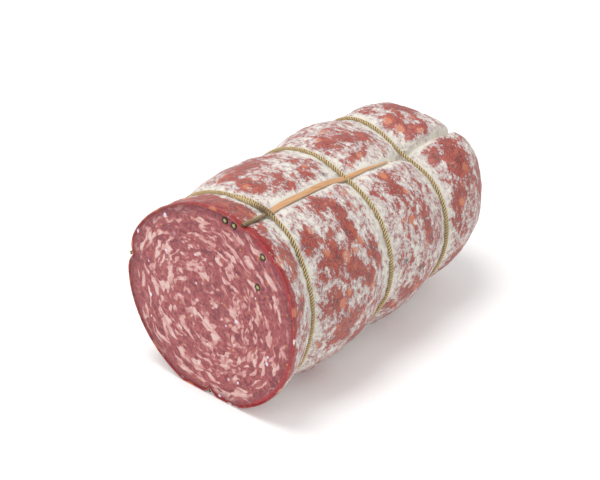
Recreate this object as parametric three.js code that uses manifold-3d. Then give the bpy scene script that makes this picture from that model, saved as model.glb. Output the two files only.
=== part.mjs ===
// The cut half of a large cured sausage, tied with twine and lying on its side.
// Millimetres, +Z up. The sausage's axis runs along Y, from the flat cut face at -Y to the
// rounded end at +Y. Angles go round the axis from +X towards +Z, in degrees, and "along" is
// the distance from the cut face. The skin is one grid of places; the filling, the casing and
// every cord take their places from it, so they all follow a size that changes.
import * as THREE from 'three';
import { mergeVertices } from 'three/addons/utils/BufferGeometryUtils.js';
import Module from 'manifold-3d';

// ---- driving dimensions ----------------------------------------------------------------------
const LENGTH = 262; // cut face to far end
const CUT_RADIUS = 76.5; // mean radius at the cut face
const TAPER = 7.5; // radius lost from the cut face to the far end
const END_LENGTH = 84; // how much of the length the rounded end takes
const FLATTENING = 3.4; // how far the underside is pressed flat where it rests
const CASING_WALL = 0.8; // thickness of the skin
const TWINE_DIAMETER = 3;
const STRIP_WIDTH = 4.5; // flat strip under the twine, in the top groove
const STRIP_THICKNESS = 0.8;
const PEPPERCORN_RADIUS = 2.3;

// ---- clearances ------------------------------------------------------------------------------
const GAP = 0.3; // between two pieces that touch
const CROSSING_ROOM = 1; // spare groove depth where a hoop crosses a lengthwise cord
const STRIP_ROOM = 1.4; // spare groove depth over the strip
const UNDERSIDE_ROOM = 1.2; // spare groove depth under the sausage

// ---- where things sit ------------------------------------------------------------------------
const FRONT_HOOP_INSET = 30; // front hoop, from the cut face
const REAR_HOOP_INSET = 82; // rear hoop, from the far end
const MIDDLE_HOOP_SHARE = 0.542; // middle hoop, as a share of the way from front to rear hoop
const STRIP_OVERHANG = 3; // strip's square end, from the front hoop
const STRIP_TAIL_INSET = 26; // strip's pointed tail, from the rear hoop

// Drift of the lengthwise grooves, in degrees, by share of the length.
const DRIFT = [[0, -3], [0.06, -2.6], [0.13, 0], [0.38, -0.5], [0.56, -6], [0.69, -4], [0.82, -5], [1, -6]];

// Round swellings and hollows of the body: how far round, how far along as a share of the
// length, height, and spread round (degrees) and along (millimetres).
const LUMPS = [
  { angle: 42, share: 0, height: 8.5, round: 32, along: 26 },
  { angle: 125, share: 0, height: -4, round: 30, along: 25 },
  { angle: 225, share: 0, height: 1.5, round: 40, along: 30 },
  { angle: 150, share: 0.325, height: 2.5, round: 30, along: 40 },
  { angle: 69, share: 0.27, height: -2, round: 18, along: 24 },
  { angle: 63, share: 0.56, height: -3, round: 18, along: 20 },
  { angle: 118, share: 0.85, height: 4, round: 30, along: 40 },
  { angle: 320, share: 0.86, height: -3.5, round: 40, along: 40 },
  { angle: 288, share: 0.5, height: 6, round: 18, along: 95 },
  { angle: 252, share: 0.5, height: 5, round: 18, along: 95 },
  { angle: 128, share: 0.57, height: 5, round: 24, along: 26 },
  { angle: 100, share: 0.97, height: -16, round: 32, along: 19 },
  { angle: 45, share: 0.88, height: 7, round: 20, along: 26 },
];

// Hoops of twine: how far the twine is drawn in below the cut radius, how wide a crease it
// pulls, and where it runs higher or lower than that, by angle, height and spread.
const HOOPS = [
  {
    name: 'hoop_front', along: FRONT_HOOP_INSET, tight: 7.5, crease: 13,
    pulls: [[56, 5.5, 22], [345, -3, 25]],
  },
  {
    name: 'hoop_middle',
    along: FRONT_HOOP_INSET + MIDDLE_HOOP_SHARE * (LENGTH - REAR_HOOP_INSET - FRONT_HOOP_INSET),
    tight: 7.5, crease: 15,
    pulls: [[67, -3.2, 18], [125, 2, 25], [325, -3, 30], [170, -2, 15], [270, -2, 20]],
  },
  {
    name: 'hoop_rear', along: LENGTH - REAR_HOOP_INSET, tight: 11.5, crease: 15,
    pulls: [[66, -9.5, 24], [120, 5, 22], [330, -1, 30], [170, -2, 15], [270, -2, 20]],
  },
];
const CREASE_POWER = 1.25; // shape of a crease's flanks

// Lengthwise grooves: angle at the cut face, and depth by share of the length.
const CORD_DEPTH = TWINE_DIAMETER + CROSSING_ROOM;
const STRIP_DEPTH = STRIP_THICKNESS + STRIP_ROOM;
const BOTTOM_DEPTH = CORD_DEPTH + FLATTENING + UNDERSIDE_ROOM; // cord clears what it lies on
const GROOVES = {
  top: {
    angle: 68.5,
    depth: [
      [0, STRIP_DEPTH], [0.54, STRIP_DEPTH], [0.62, CORD_DEPTH], [0.82, CORD_DEPTH + 5], [1, CORD_DEPTH + 5],
    ],
  },
  side: { angle: 173, depth: [[0, CORD_DEPTH], [1, CORD_DEPTH + 4]] },
  bottom: { angle: 273, depth: [[0, BOTTOM_DEPTH], [0.5, BOTTOM_DEPTH + 3], [1, BOTTOM_DEPTH]] },
};
const GROOVE_WIDTH = 6; // distance at which a groove has lost most of its depth

// Peppercorns in the cut face: angle, and how far their edge lies in from the filling's edge.
const PEPPERCORNS = [
  { angle: 75.5, inset: 1.8 },
  { angle: 69.5, inset: 0.9 },
  { angle: 48, inset: 5 },
  { angle: 35, inset: 24.5 },
];
const PEPPERCORN_SINK = 0.5; // centre of a peppercorn, behind the cut face

// ---- fineness --------------------------------------------------------------------------------
const GROOVE_OFFSETS = [-10, -5.5, -2.2, 0, 2.2, 5.5, 10]; // grid angles about each groove
const ANGLE_STEP = 8.6; // widest grid angle elsewhere
const SEAT_SPAN = 4; // from a hoop's station to the next one on either side
const HOOP_OFFSETS = [-11, -SEAT_SPAN, 0, SEAT_SPAN, 11]; // grid stations about each hoop
const STATION_STEP = 19; // widest grid station elsewhere
const END_RINGS = 6; // stations on the rounded end
const TWINE_SIDES = 8;

const wasm = await Module();
wasm.setup();

const TWINE_RADIUS = TWINE_DIAMETER / 2;
const FILLING_INSET = CASING_WALL + GAP;
const UNDERSIDE = -(CUT_RADIUS - FLATTENING);

const radians = THREE.MathUtils.degToRad;
const bell = (distance, spread) => Math.exp(-((distance / spread) ** 2));
/** Shortest way round from one angle to another, in degrees. */
const turn = (from, to) => THREE.MathUtils.euclideanModulo(to - from + 180, 360) - 180;

// ---- shape of the body -----------------------------------------------------------------------
/** Value at a share of the length, from a list of [share, value]. */
function interpolate(list, share) {
  const next = Math.max(1, list.findIndex(([place]) => place >= share));
  const [[before, low], [after, high]] = [list[next - 1], list[next]];
  return THREE.MathUtils.lerp(low, high, (share - before) / (after - before));
}

/** How far the grooves have drifted at a place along. */
const drift = (along) => interpolate(DRIFT, along / LENGTH);

/** Radius of the untied, lumpy body. */
function looseRadius(along, angle) {
  const lumps = LUMPS.map((lump) => lump.height * bell(turn(lump.angle, angle), lump.round)
    * bell(along - lump.share * LENGTH, lump.along));
  return CUT_RADIUS - TAPER * (along / LENGTH) ** 0.8 + lumps.reduce((sum, height) => sum + height);
}

/** Radius of a hoop's centre line. */
function hoopRadius(hoop, angle) {
  return hoop.pulls.reduce(
    (radius, [at, height, spread]) => radius + height * bell(turn(at, angle), spread),
    CUT_RADIUS - hoop.tight,
  );
}

/** How far the skin lies below a hoop's centre line, so that the crease's flanks clear the twine. */
function seatDepth(hoop, angle) {
  const clear = TWINE_RADIUS + GAP;
  const fall = looseRadius(hoop.along, angle) - hoopRadius(hoop, angle) + clear;
  const slope = fall * (1 - Math.exp(-((SEAT_SPAN / hoop.crease) ** CREASE_POWER))) / SEAT_SPAN;
  return clear * Math.hypot(1, slope);
}

/** Radius of the tied body: drawn in at the hoops and rounded off at the far end. */
function tiedRadius(along, angle) {
  let radius = looseRadius(along, angle);
  for (const hoop of HOOPS) {
    const seat = hoopRadius(hoop, angle) - seatDepth(hoop, angle);
    const drawnIn = looseRadius(hoop.along, angle) - seat;
    radius -= drawnIn * Math.exp(-((Math.abs(along - hoop.along) / hoop.crease) ** CREASE_POWER));
  }
  const into = Math.max(0, (along - LENGTH + END_LENGTH) / END_LENGTH);
  return radius * Math.max(0, 1 - into ** 2.6) ** (1 / 2.3);
}

/** Point of the tied body, before the grooves. */
function bodyPoint(along, angle) {
  const radius = tiedRadius(along, angle);
  return new THREE.Vector3(radius * Math.cos(radians(angle)), along, radius * Math.sin(radians(angle)));
}

/** Outward direction of the tied body, before the grooves. */
function bodyNormal(along, angle) {
  if (along > LENGTH - 0.01) return new THREE.Vector3(0, 1, 0);
  const round = bodyPoint(along, angle + 0.5).sub(bodyPoint(along, angle - 0.5));
  const step = Math.min(0.5, LENGTH - along);
  const onward = bodyPoint(along + step, angle).sub(bodyPoint(Math.max(0, along - step), angle));
  return onward.cross(round).normalize();
}

/** Depth of the grooves at a place of the body. */
function grooveDepth(along, angle) {
  const radius = tiedRadius(along, angle);
  const depths = Object.values(GROOVES).map((groove) => {
    const distance = radius * radians(Math.abs(turn(groove.angle + drift(along), angle)));
    return interpolate(groove.depth, along / LENGTH) * Math.exp(-((distance / GROOVE_WIDTH) ** 1.5));
  });
  return Math.max(...depths);
}

/** Point of the casing's outside. */
function skinPoint(along, angle) {
  const inward = bodyNormal(along, angle).multiplyScalar(-grooveDepth(along, angle));
  if (along === 0) inward.y = 0;
  const point = bodyPoint(along, angle).add(inward);
  point.z = Math.max(point.z, UNDERSIDE);
  return point;
}

// ---- grid ------------------------------------------------------------------------------------
/** Sorted places with even steps, none wider than the widest, put between those given. */
function filledIn(places, widest) {
  return places.flatMap((place, index) => {
    if (index === places.length - 1) return [place];
    const steps = Math.ceil((places[index + 1] - place) / widest);
    return Array.from({ length: steps }, (_, step) => (
      THREE.MathUtils.lerp(place, places[index + 1], step / steps)));
  });
}

/** Angles of the grid at the cut face, close together about the grooves. */
function gridAngles() {
  const fixed = Object.values(GROOVES).flatMap((groove) => GROOVE_OFFSETS.map((o) => groove.angle + o));
  return filledIn([...fixed, fixed[0] + 360], ANGLE_STEP).slice(0, -1);
}

/** Stations of the grid, close together about the hoops and on the rounded end. */
function gridStations() {
  const hoops = HOOPS.flatMap((hoop) => HOOP_OFFSETS.map((offset) => hoop.along + offset));
  const start = hoops.at(-1);
  const end = Array.from({ length: END_RINGS }, (_, ring) => (
    start + (LENGTH - start) * Math.sin(radians(90 * (ring + 1) / END_RINGS))));
  return [...filledIn([0, ...hoops], STATION_STEP), ...end];
}

const ANGLES = gridAngles();
const STATIONS = gridStations();
const SKIN = ANGLES.map((angle) => STATIONS.map((along) => skinPoint(along, angle + drift(along))));

/** Outward direction of the skin at a place of the grid. */
function skinNormal(column, row) {
  if (row === STATIONS.length - 1) return new THREE.Vector3(0, 1, 0);
  const columns = ANGLES.length;
  const round = SKIN[(column + 1) % columns][row].clone().sub(SKIN[(column + columns - 1) % columns][row]);
  const onward = SKIN[column][row + 1].clone().sub(SKIN[column][Math.max(0, row - 1)]);
  const normal = onward.cross(round);
  if (row === 0) normal.y = 0;
  return normal.normalize();
}
const NORMALS = SKIN.map((places, column) => places.map((_, row) => skinNormal(column, row)));

/** Point of the grid, moved inwards. */
function inset(column, row, depth) {
  return SKIN[column][row].clone().addScaledVector(NORMALS[column][row], -depth);
}

// ---- making solids ---------------------------------------------------------------------------
/**
 * The whole body at a depth below the skin, closed in front at the cut or proud of it. It is a
 * body of revolution pressed to shape: each point of its profile takes a place of the grid.
 * A lathe turns from +Z towards +X, so the grid's columns are taken backwards.
 */
function body(depth, proud = 0) {
  const skin = STATIONS.map((_, row) => ({ row, forward: 0 })).slice(0, -1);
  const front = proud > 0 ? [{ row: 0, forward: proud }] : [];
  const profile = [...front, ...skin];
  const tip = inset(0, STATIONS.length - 1, depth).y;
  const lathed = profile.map(({ row }) => new THREE.Vector2(CUT_RADIUS, STATIONS[row]));
  const onAxis = [new THREE.Vector2(0, -proud), new THREE.Vector2(0, tip)];
  const geometry = new THREE.LatheGeometry([onAxis[0], ...lathed, onAxis[1]], ANGLES.length);
  const position = geometry.getAttribute('position');
  for (let index = 0; index < position.count; index += 1) {
    const place = profile[index % (profile.length + 2) - 1];
    if (!place) continue;
    const turned = Math.floor(index / (profile.length + 2));
    const point = inset((ANGLES.length - turned) % ANGLES.length, place.row, depth);
    position.setXYZ(index, point.x, point.y - place.forward, point.z);
  }
  return solid(geometry);
}

/** A manifold solid made of a three.js geometry. */
function solid(geometry) {
  const bare = new THREE.BufferGeometry();
  bare.setAttribute('position', geometry.getAttribute('position'));
  bare.setIndex(geometry.getIndex());
  const merged = mergeVertices(bare, 1e-4);
  const corners = Array.from(merged.getIndex().array);
  const whole = corners.filter((_, index) => {
    const first = index - (index % 3);
    return new Set(corners.slice(first, first + 3)).size === 3;
  });
  return new wasm.Manifold(new wasm.Mesh({
    numProp: 3,
    vertProperties: new Float32Array(merged.getAttribute('position').array),
    triVerts: new Uint32Array(whole),
  }));
}

/** A three.js geometry made of a manifold solid. */
function geometryOf(manifold) {
  const mesh = manifold.getMesh();
  const geometry = new THREE.BufferGeometry();
  geometry.setAttribute('position', new THREE.BufferAttribute(mesh.vertProperties, 3));
  geometry.setIndex(new THREE.BufferAttribute(mesh.triVerts, 1));
  return geometry;
}

/** A route through listed places, stepped exactly at those places. */
class Route extends THREE.Curve {
  constructor(places) {
    super();
    this.places = places;
  }

  getUtoTmapping(u) {
    return u;
  }

  getPoint(t, target = new THREE.Vector3()) {
    const run = t * (this.places.length - 1);
    const first = Math.min(Math.floor(run), this.places.length - 2);
    return target.lerpVectors(this.places[first], this.places[first + 1], run - first);
  }
}

/** Twine with two cut ends along a list of places. */
function twine(places) {
  const section = new THREE.Shape().absarc(0, 0, TWINE_RADIUS, 0, 2 * Math.PI);
  return new THREE.ExtrudeGeometry(section, {
    steps: places.length - 1, curveSegments: TWINE_SIDES / 2, extrudePath: new Route(places),
  });
}

// ---- lengthwise cords ------------------------------------------------------------------------
/** How far above the bottom of its groove a cord's centre lies, clear of both flanks. */
function seatHeight(column, row) {
  const normal = NORMALS[column][row];
  const clear = TWINE_RADIUS + GAP;
  const flanks = [-3, -2, -1, 1, 2, 3].map((step) => {
    const away = SKIN[(column + step + ANGLES.length) % ANGLES.length][row].clone().sub(SKIN[column][row]);
    const rise = away.dot(normal);
    return new THREE.Vector2(Math.sign(step) * away.addScaledVector(normal, -rise).length(), rise);
  });
  flanks.splice(3, 0, new THREE.Vector2(0, 0));
  const spans = flanks.slice(1).map((point, index) => (
    new THREE.Line3(new THREE.Vector3(flanks[index].x, flanks[index].y), new THREE.Vector3(point.x, point.y))));
  const touches = (height) => spans.some((span) => {
    const centre = new THREE.Vector3(0, height);
    return span.closestPointToPoint(centre, true, new THREE.Vector3()).distanceTo(centre) < clear;
  });
  let height = clear;
  while (touches(height)) height += 0.02;
  return height;
}

/** A place in a groove: its bottom, the way out of it, and a cord's height above it. */
function grooveGrid(groove) {
  const column = ANGLES.indexOf(groove.angle);
  return STATIONS.map((along, row) => ({
    along,
    bottom: SKIN[column][row],
    out: NORMALS[column][row],
    height: seatHeight(column, Math.min(row, STATIONS.length - 2)),
    rise: [-1, 1].map((step) => SKIN[column + step][row].clone().sub(SKIN[column][row])),
  }));
}

/** The groove's places from one station to another, with both of those put in. */
function grooveRun(groove, start, finish) {
  const grid = grooveGrid(groove);
  const between = (along) => {
    const next = Math.max(1, grid.findIndex((place) => place.along >= along));
    const [before, after] = [grid[next - 1], grid[next]];
    const share = (along - before.along) / (after.along - before.along);
    return {
      along,
      bottom: before.bottom.clone().lerp(after.bottom, share),
      out: before.out.clone().lerp(after.out, share).normalize(),
      height: THREE.MathUtils.lerp(before.height, after.height, share),
      rise: before.rise.map((side, index) => side.clone().lerp(after.rise[index], share)),
    };
  };
  const inside = grid.filter(({ along }) => along > start + 0.5 && along < finish - 0.5);
  return [between(start), ...inside, between(finish)];
}

/** Centre line of a cord that lies in a groove. A cord that starts at the cut is square there. */
function cordLine(groove, start, finish) {
  const line = grooveRun(groove, start, finish).map(({ bottom, out, height }) => (
    bottom.clone().addScaledVector(out, height)));
  if (start > 0) return line;
  const square = line[0].clone().setY(1);
  return [line[0].setY(0), square, ...line.slice(1)];
}

/** Flat strip in the top groove: square at the front, tapered to a tail at the back. */
function stripGeometry() {
  const start = FRONT_HOOP_INSET + STRIP_OVERHANG;
  const finish = LENGTH - REAR_HOOP_INSET - STRIP_TAIL_INSET;
  const run = grooveRun(GROOVES.top, start, finish);
  const geometry = new THREE.BoxGeometry(1, 1, 1, 2, 1, run.length - 1);
  const position = geometry.getAttribute('position');
  for (let index = 0; index < position.count; index += 1) {
    const { along, bottom, out, rise } = run[Math.round((position.getZ(index) + 0.5) * (run.length - 1))];
    const side = rise[1].clone().sub(rise[0]);
    side.addScaledVector(out, -side.dot(out)).normalize();
    const flank = Math.max(...rise.map((step) => step.dot(out)));
    const reach = Math.max(...rise.map((step) => step.length()));
    const narrow = 1 - 0.7 * THREE.MathUtils.smoothstep(along, (start + finish) / 2, finish);
    const across = position.getX(index) * STRIP_WIDTH * narrow;
    const lift = GAP + Math.max(flank, flank * (STRIP_WIDTH * narrow) / (2 * reach)) + STRIP_THICKNESS / 2;
    const up = lift + position.getY(index) * STRIP_THICKNESS;
    position.setXYZ(index, ...bottom.clone().addScaledVector(side, across).addScaledVector(out, up));
  }
  return geometry;
}

// ---- pieces ----------------------------------------------------------------------------------
/** Filling, flat at the cut, with a socket for each peppercorn. */
function fillingGeometry() {
  const sockets = PEPPERCORNS.map((place) => solid(cutBall(PEPPERCORN_RADIUS + GAP, GAP, place)));
  return geometryOf(sockets.reduce((filling, socket) => filling.subtract(socket), body(FILLING_INSET)));
}

/** Casing: a thin skin, open at the cut and closed round the far end. */
function casingGeometry() {
  return geometryOf(body(0).subtract(body(CASING_WALL, GAP)));
}

/** Ball cut off level with the cut face, or a little in front of it, where a peppercorn sits. */
function cutBall(radius, proud, { angle, inset: edge }) {
  const filling = skinPoint(0, angle).length() - FILLING_INSET;
  const reach = filling - edge - GAP - PEPPERCORN_RADIUS;
  const level = Math.asin(Math.min(1, (PEPPERCORN_SINK + proud) / radius));
  const steps = 5;
  const arc = Array.from({ length: steps + 1 }, (_, step) => {
    const tilt = THREE.MathUtils.lerp(Math.PI / 2, -level, step / steps);
    return new THREE.Vector2(radius * Math.cos(tilt), PEPPERCORN_SINK + radius * Math.sin(tilt));
  });
  arc[0].x = 0;
  const profile = [new THREE.Vector2(0, arc[steps].y), ...arc.reverse()];
  return new THREE.LatheGeometry(profile, 12)
    .translate(reach * Math.cos(radians(angle)), 0, reach * Math.sin(radians(angle)));
}

/** Closed hoop of twine. */
function hoopGeometry(hoop) {
  const lowest = UNDERSIDE + TWINE_RADIUS + GAP;
  const places = [...ANGLES, ANGLES[0]].map((angle) => {
    const turned = angle + drift(hoop.along);
    const radius = hoopRadius(hoop, turned);
    const [x, z] = [radius * Math.cos(radians(turned)), radius * Math.sin(radians(turned))];
    return new THREE.Vector3(x, hoop.along, Math.max(z, lowest));
  });
  return new THREE.TubeGeometry(new Route(places), ANGLES.length, TWINE_RADIUS, TWINE_SIDES, true);
}

/** Lengthwise cord: out of the top crease, over the far end and back along the bottom groove. */
function spineGeometry() {
  const start = LENGTH - REAR_HOOP_INSET - STRIP_TAIL_INSET + TWINE_DIAMETER;
  const over = cordLine(GROOVES.top, start, LENGTH);
  const under = cordLine(GROOVES.bottom, 0, LENGTH).reverse().slice(1);
  return twine([...over, ...under]);
}

/** Cord in the side groove, from the cut to the lengthwise cord on the far end. */
function sideCordGeometry() {
  const line = cordLine(GROOVES.side, 0, LENGTH);
  const pole = line.pop();
  const last = line.at(-1);
  const reach = (TWINE_DIAMETER + GAP) / last.distanceTo(pole);
  return twine([...line, pole.clone().lerp(last, reach)]);
}

/** Short end of cord in the top groove, from the cut down to the front hoop. */
function stubGeometry() {
  return twine(cordLine(GROOVES.top, 0, FRONT_HOOP_INSET - TWINE_DIAMETER - GAP));
}

// ---- finishes --------------------------------------------------------------------------------
const finish = (color, roughness) => new THREE.MeshStandardMaterial({ color, roughness, metalness: 0 });
const FINISHES = {
  filling: finish(0xb0585c, 0.35),
  casing: finish(0xcdbcb4, 0.75),
  twine: finish(0xa08a50, 0.85),
  stub: finish(0x5e4630, 0.85),
  strip: finish(0xdca86c, 0.6),
  peppercorn: finish(0x3c3d26, 0.6),
};

const sausage = new THREE.Group();
/** Adds one named piece. */
function add(name, geometry, material) {
  const mesh = new THREE.Mesh(geometry, material);
  mesh.name = name;
  sausage.add(mesh);
}

add('filling', fillingGeometry(), FINISHES.filling);
add('casing', casingGeometry(), FINISHES.casing);
HOOPS.forEach((hoop) => add(hoop.name, hoopGeometry(hoop), FINISHES.twine));
add('spine_cord', spineGeometry(), FINISHES.twine);
add('side_cord', sideCordGeometry(), FINISHES.twine);
add('cord_stub', stubGeometry(), FINISHES.stub);
add('top_strip', stripGeometry(), FINISHES.strip);
PEPPERCORNS.forEach((place, index) => (
  add(`peppercorn_${index + 1}`, cutBall(PEPPERCORN_RADIUS, 0, place), FINISHES.peppercorn)));

// The origin is the middle of the underside.
const box = new THREE.Box3().setFromObject(sausage);
sausage.position.set(-(box.min.x + box.max.x) / 2, -(box.min.y + box.max.y) / 2, -box.min.z);

export default sausage;
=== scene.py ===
"""Looks of the cured sausage: its meat, skin, twine, reed strip and peppercorns, and a studio.

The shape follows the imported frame. Lengths in the shape formulas are millimetres, measured
along the sausage from its cut face and round it in degrees, from +X towards +Z.
"""
import logging
import math
from dataclasses import dataclass
from enum import Enum
from typing import Callable, Sequence

import bpy
import numpy as np
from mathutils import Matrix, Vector, noise


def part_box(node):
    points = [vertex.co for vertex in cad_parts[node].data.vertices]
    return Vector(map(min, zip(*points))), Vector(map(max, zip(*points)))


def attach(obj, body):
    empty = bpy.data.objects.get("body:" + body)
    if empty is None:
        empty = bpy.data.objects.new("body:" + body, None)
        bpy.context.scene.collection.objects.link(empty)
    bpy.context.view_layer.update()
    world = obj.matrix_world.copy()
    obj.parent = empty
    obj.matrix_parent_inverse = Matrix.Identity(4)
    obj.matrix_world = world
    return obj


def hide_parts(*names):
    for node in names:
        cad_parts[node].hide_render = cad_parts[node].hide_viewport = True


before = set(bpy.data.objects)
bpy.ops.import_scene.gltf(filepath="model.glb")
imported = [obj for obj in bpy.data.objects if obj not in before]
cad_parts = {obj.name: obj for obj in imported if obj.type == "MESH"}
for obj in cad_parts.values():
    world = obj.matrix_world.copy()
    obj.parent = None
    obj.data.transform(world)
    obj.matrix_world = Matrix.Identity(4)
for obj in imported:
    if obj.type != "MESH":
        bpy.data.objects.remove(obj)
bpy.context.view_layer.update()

logging.basicConfig(level=logging.INFO, format="%(name)s: %(message)s")
LOG = logging.getLogger("sausage")

MM = 0.001
BODY = "root"
ROUGHNESS = 0.9  # how fast the finer layers of a cloud grow weaker
FINER = 2.1  # how much finer each layer of a cloud is than the one before

Colour = tuple[float, float, float]
Array = np.ndarray
Socket = bpy.types.NodeSocket
Material = bpy.types.Material
Piece = bpy.types.Object


def linear(red: int, green: int, blue: int) -> Colour:
    """A colour given in display values from 0 to 255, as linear light from 0 to 1."""
    shares = (value / 255 for value in (red, green, blue))
    return tuple(share / 12.92 if share <= 0.04045 else ((share + 0.055) / 1.055) ** 2.4
                 for share in shares)


# ---- shader maths -------------------------------------------------------------------------------
def operator(operation: str, reflected: bool = False) -> Callable[["Num", "Num | float"], "Num"]:
    """One of Python's operators, as a Math node.

    Args:
        operation: the node's operation.
        reflected: whether the number stands on the operator's right.

    Returns:
        The method for that operator.
    """
    def method(self: "Num", other: "Num | float") -> "Num":
        """The node's result."""
        return self.result(operation, *((other, self) if reflected else (self, other)))

    return method


class Num:
    """A number in a shader. Python's operators on it add Math nodes, and | takes the larger."""

    def __init__(self, graph: "Graph", socket: Socket) -> None:
        """Keeps the graph and the socket that the number comes from."""
        self.graph = graph
        self.socket = socket

    def result(self, operation: str, *values: "Num | float", clamp: bool = False) -> "Num":
        """The result of one Math node, with its inputs in order, kept from 0 to 1 if clamped."""
        settings = {"operation": operation, "use_clamp": clamp}
        return self.graph.number("ShaderNodeMath", settings, dict(enumerate(values)))

    __add__, __radd__ = operator("ADD"), operator("ADD", reflected=True)
    __sub__, __rsub__ = operator("SUBTRACT"), operator("SUBTRACT", reflected=True)
    __mul__, __rmul__ = operator("MULTIPLY"), operator("MULTIPLY", reflected=True)
    __truediv__, __pow__, __or__ = operator("DIVIDE"), operator("POWER"), operator("MAXIMUM")

    def clamped(self) -> "Num":
        """The number kept from 0 to 1."""
        return self.result("ADD", self, 0.0, clamp=True)

    def step(self, low: float, high: float) -> "Num":
        """A smooth step from 0 at low to 1 at high. High may be below low."""
        values = {"Value": self, "From Min": low, "From Max": high, "To Min": 0.0, "To Max": 1.0}
        return self.graph.number("ShaderNodeMapRange", {"interpolation_type": "SMOOTHSTEP"}, values)


class Graph:
    """A material's nodes, added one call at a time. Places in it are in millimetres."""

    def __init__(self, name: str) -> None:
        """Makes an empty material of that name."""
        self.material = bpy.data.materials.new(name)
        self.material.use_nodes = True
        self.tree = self.material.node_tree
        self.tree.nodes.clear()

    def node(self, kind: str, settings: dict | None = None, values: dict | None = None) -> bpy.types.Node:
        """Adds a node.

        Args:
            kind: the node's type.
            settings: its properties.
            values: its sockets' values or links, by name or number.

        Returns:
            The node.
        """
        node = self.tree.nodes.new(kind)
        for key, value in (settings or {}).items():
            setattr(node, key, value)
        for key, value in (values or {}).items():
            socket = node.inputs[key]
            source = value.socket if isinstance(value, Num) else value
            if isinstance(source, Socket):
                self.tree.links.new(source, socket)
            elif isinstance(source, tuple) and len(source) == 3 and len(socket.default_value) == 4:
                socket.default_value = (*source, 1.0)
            else:
                socket.default_value = source
        return node

    def number(self, kind: str, settings: dict | None = None, values: dict | None = None,
               output: int = 0) -> Num:
        """Adds a node, as in node(), and takes one output of it as a number."""
        return Num(self, self.node(kind, settings, values).outputs[output])

    def place(self, scale: Colour = (1, 1, 1)) -> Socket:
        """Where a point lies, in millimetres times a scale on each axis."""
        here = self.node("ShaderNodeTexCoord").outputs["Object"]
        return self.vector("MULTIPLY", here, tuple(value / MM for value in scale))

    def vector(self, operation: str, first: object, second: object) -> Socket:
        """The result of one Vector Math node on two vectors or links."""
        values = {0: first, 1: second}
        return self.node("ShaderNodeVectorMath", {"operation": operation}, values).outputs[0]

    def parts(self, vector: Socket) -> list[Num]:
        """A vector's three numbers."""
        outputs = self.node("ShaderNodeSeparateXYZ", None, {0: vector}).outputs
        return [Num(self, output) for output in outputs]

    def joined(self, *parts: Num | float) -> Socket:
        """A vector of up to three numbers."""
        return self.node("ShaderNodeCombineXYZ", None, dict(enumerate(parts))).outputs[0]

    def carried(self, name: str) -> Socket:
        """A vector that the mesh carries."""
        return self.node("ShaderNodeAttribute", {"attribute_name": name}).outputs["Vector"]

    def read(self, name: str) -> Num:
        """A number that the mesh carries."""
        return Num(self, self.node("ShaderNodeAttribute", {"attribute_name": name}).outputs["Fac"])

    def noise(self, place: Socket, size: float, detail: float = 2.0,
              rough: float = 0.5) -> Num:
        """Cloudy noise.

        Args:
            place: where it is read.
            size: size of its clouds.
            detail: how many finer layers it has.
            rough: how strong the finer layers are.

        Returns:
            The noise, about 0.5.
        """
        values = {"Vector": place, "Scale": 1 / size, "Detail": detail, "Roughness": rough}
        return self.number("ShaderNodeTexNoise", None, values)

    def swirled(self, place: Socket, size: float, reach: float) -> Socket:
        """A place pushed about by noise, so that what is drawn there has ragged outlines.

        Args:
            place: the place.
            size: size of the pushes' clouds.
            reach: how far they push.

        Returns:
            The pushed place.
        """
        values = {"Vector": place, "Scale": 1 / size, "Detail": 2.0}
        cloud = self.node("ShaderNodeTexNoise", None, values).outputs["Color"]
        push = self.vector("SUBTRACT", cloud, (0.5, 0.5, 0.5))
        return self.vector("ADD", place, self.vector("MULTIPLY", push, (reach, reach, reach)))

    def cells(self, place: Socket, size: float, soft: float = 0.0,
              dimensions: str = "3D") -> tuple[Num, Num, Num]:
        """Voronoi cells.

        Args:
            place: where they are read.
            size: size of a cell.
            soft: how far neighbours run into each other, 0 for crisp cells.
            dimensions: "3D", or "2D" for cells that reach right through.

        Returns:
            The distance to a cell's middle, and two numbers from 0 to 1 that each cell draws.
        """
        settings = {"feature": "SMOOTH_F1" if soft else "F1", "voronoi_dimensions": dimensions}
        values = {"Vector": place, "Scale": 1 / size, **({"Smoothness": soft} if soft else {})}
        outputs = self.node("ShaderNodeTexVoronoi", settings, values).outputs
        drawn = self.node("ShaderNodeSeparateColor", None, {0: outputs["Color"]}).outputs
        return Num(self, outputs["Distance"]), Num(self, drawn[0]), Num(self, drawn[1])

    def coats(self, base: object, *coats: tuple[Num | float, object]) -> Socket:
        """A colour with others laid over it in turn.

        Args:
            base: the lowest colour, or a link to one.
            coats: the share and the colour of each one laid over it.

        Returns:
            The mixed colour.
        """
        settings = {"data_type": "RGBA", "clamp_factor": True}
        for share, colour in coats:
            base = self.node("ShaderNodeMix", settings, {0: share, 6: base, 7: colour}).outputs[2]
        return base

    def bump(self, height: Num, depth: float, under: Socket | None = None) -> Socket:
        """Relief finer than the mesh.

        Args:
            height: the relief, from 0 to 1.
            depth: how high 1 is, in millimetres.
            under: coarser relief that this one lies on.

        Returns:
            The normal.
        """
        values = {"Height": height, "Distance": depth * MM, "Strength": 1.0,
                  **({"Normal": under} if under is not None else {})}
        return self.node("ShaderNodeBump", None, values).outputs[0]

    def surface(self, values: dict) -> Material:
        """Ends the material with a surface shader that has these values."""
        shader = self.node("ShaderNodeBsdfPrincipled", None, values).outputs[0]
        self.node("ShaderNodeOutputMaterial", None, {"Surface": shader})
        return self.material


# ---- shape of the sausage -----------------------------------------------------------------------
@dataclass(frozen=True)
class Lump:
    """A round swelling or hollow: place, height, and spread round and along."""

    angle: float
    share: float
    height: float
    round: float
    along: float


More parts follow.
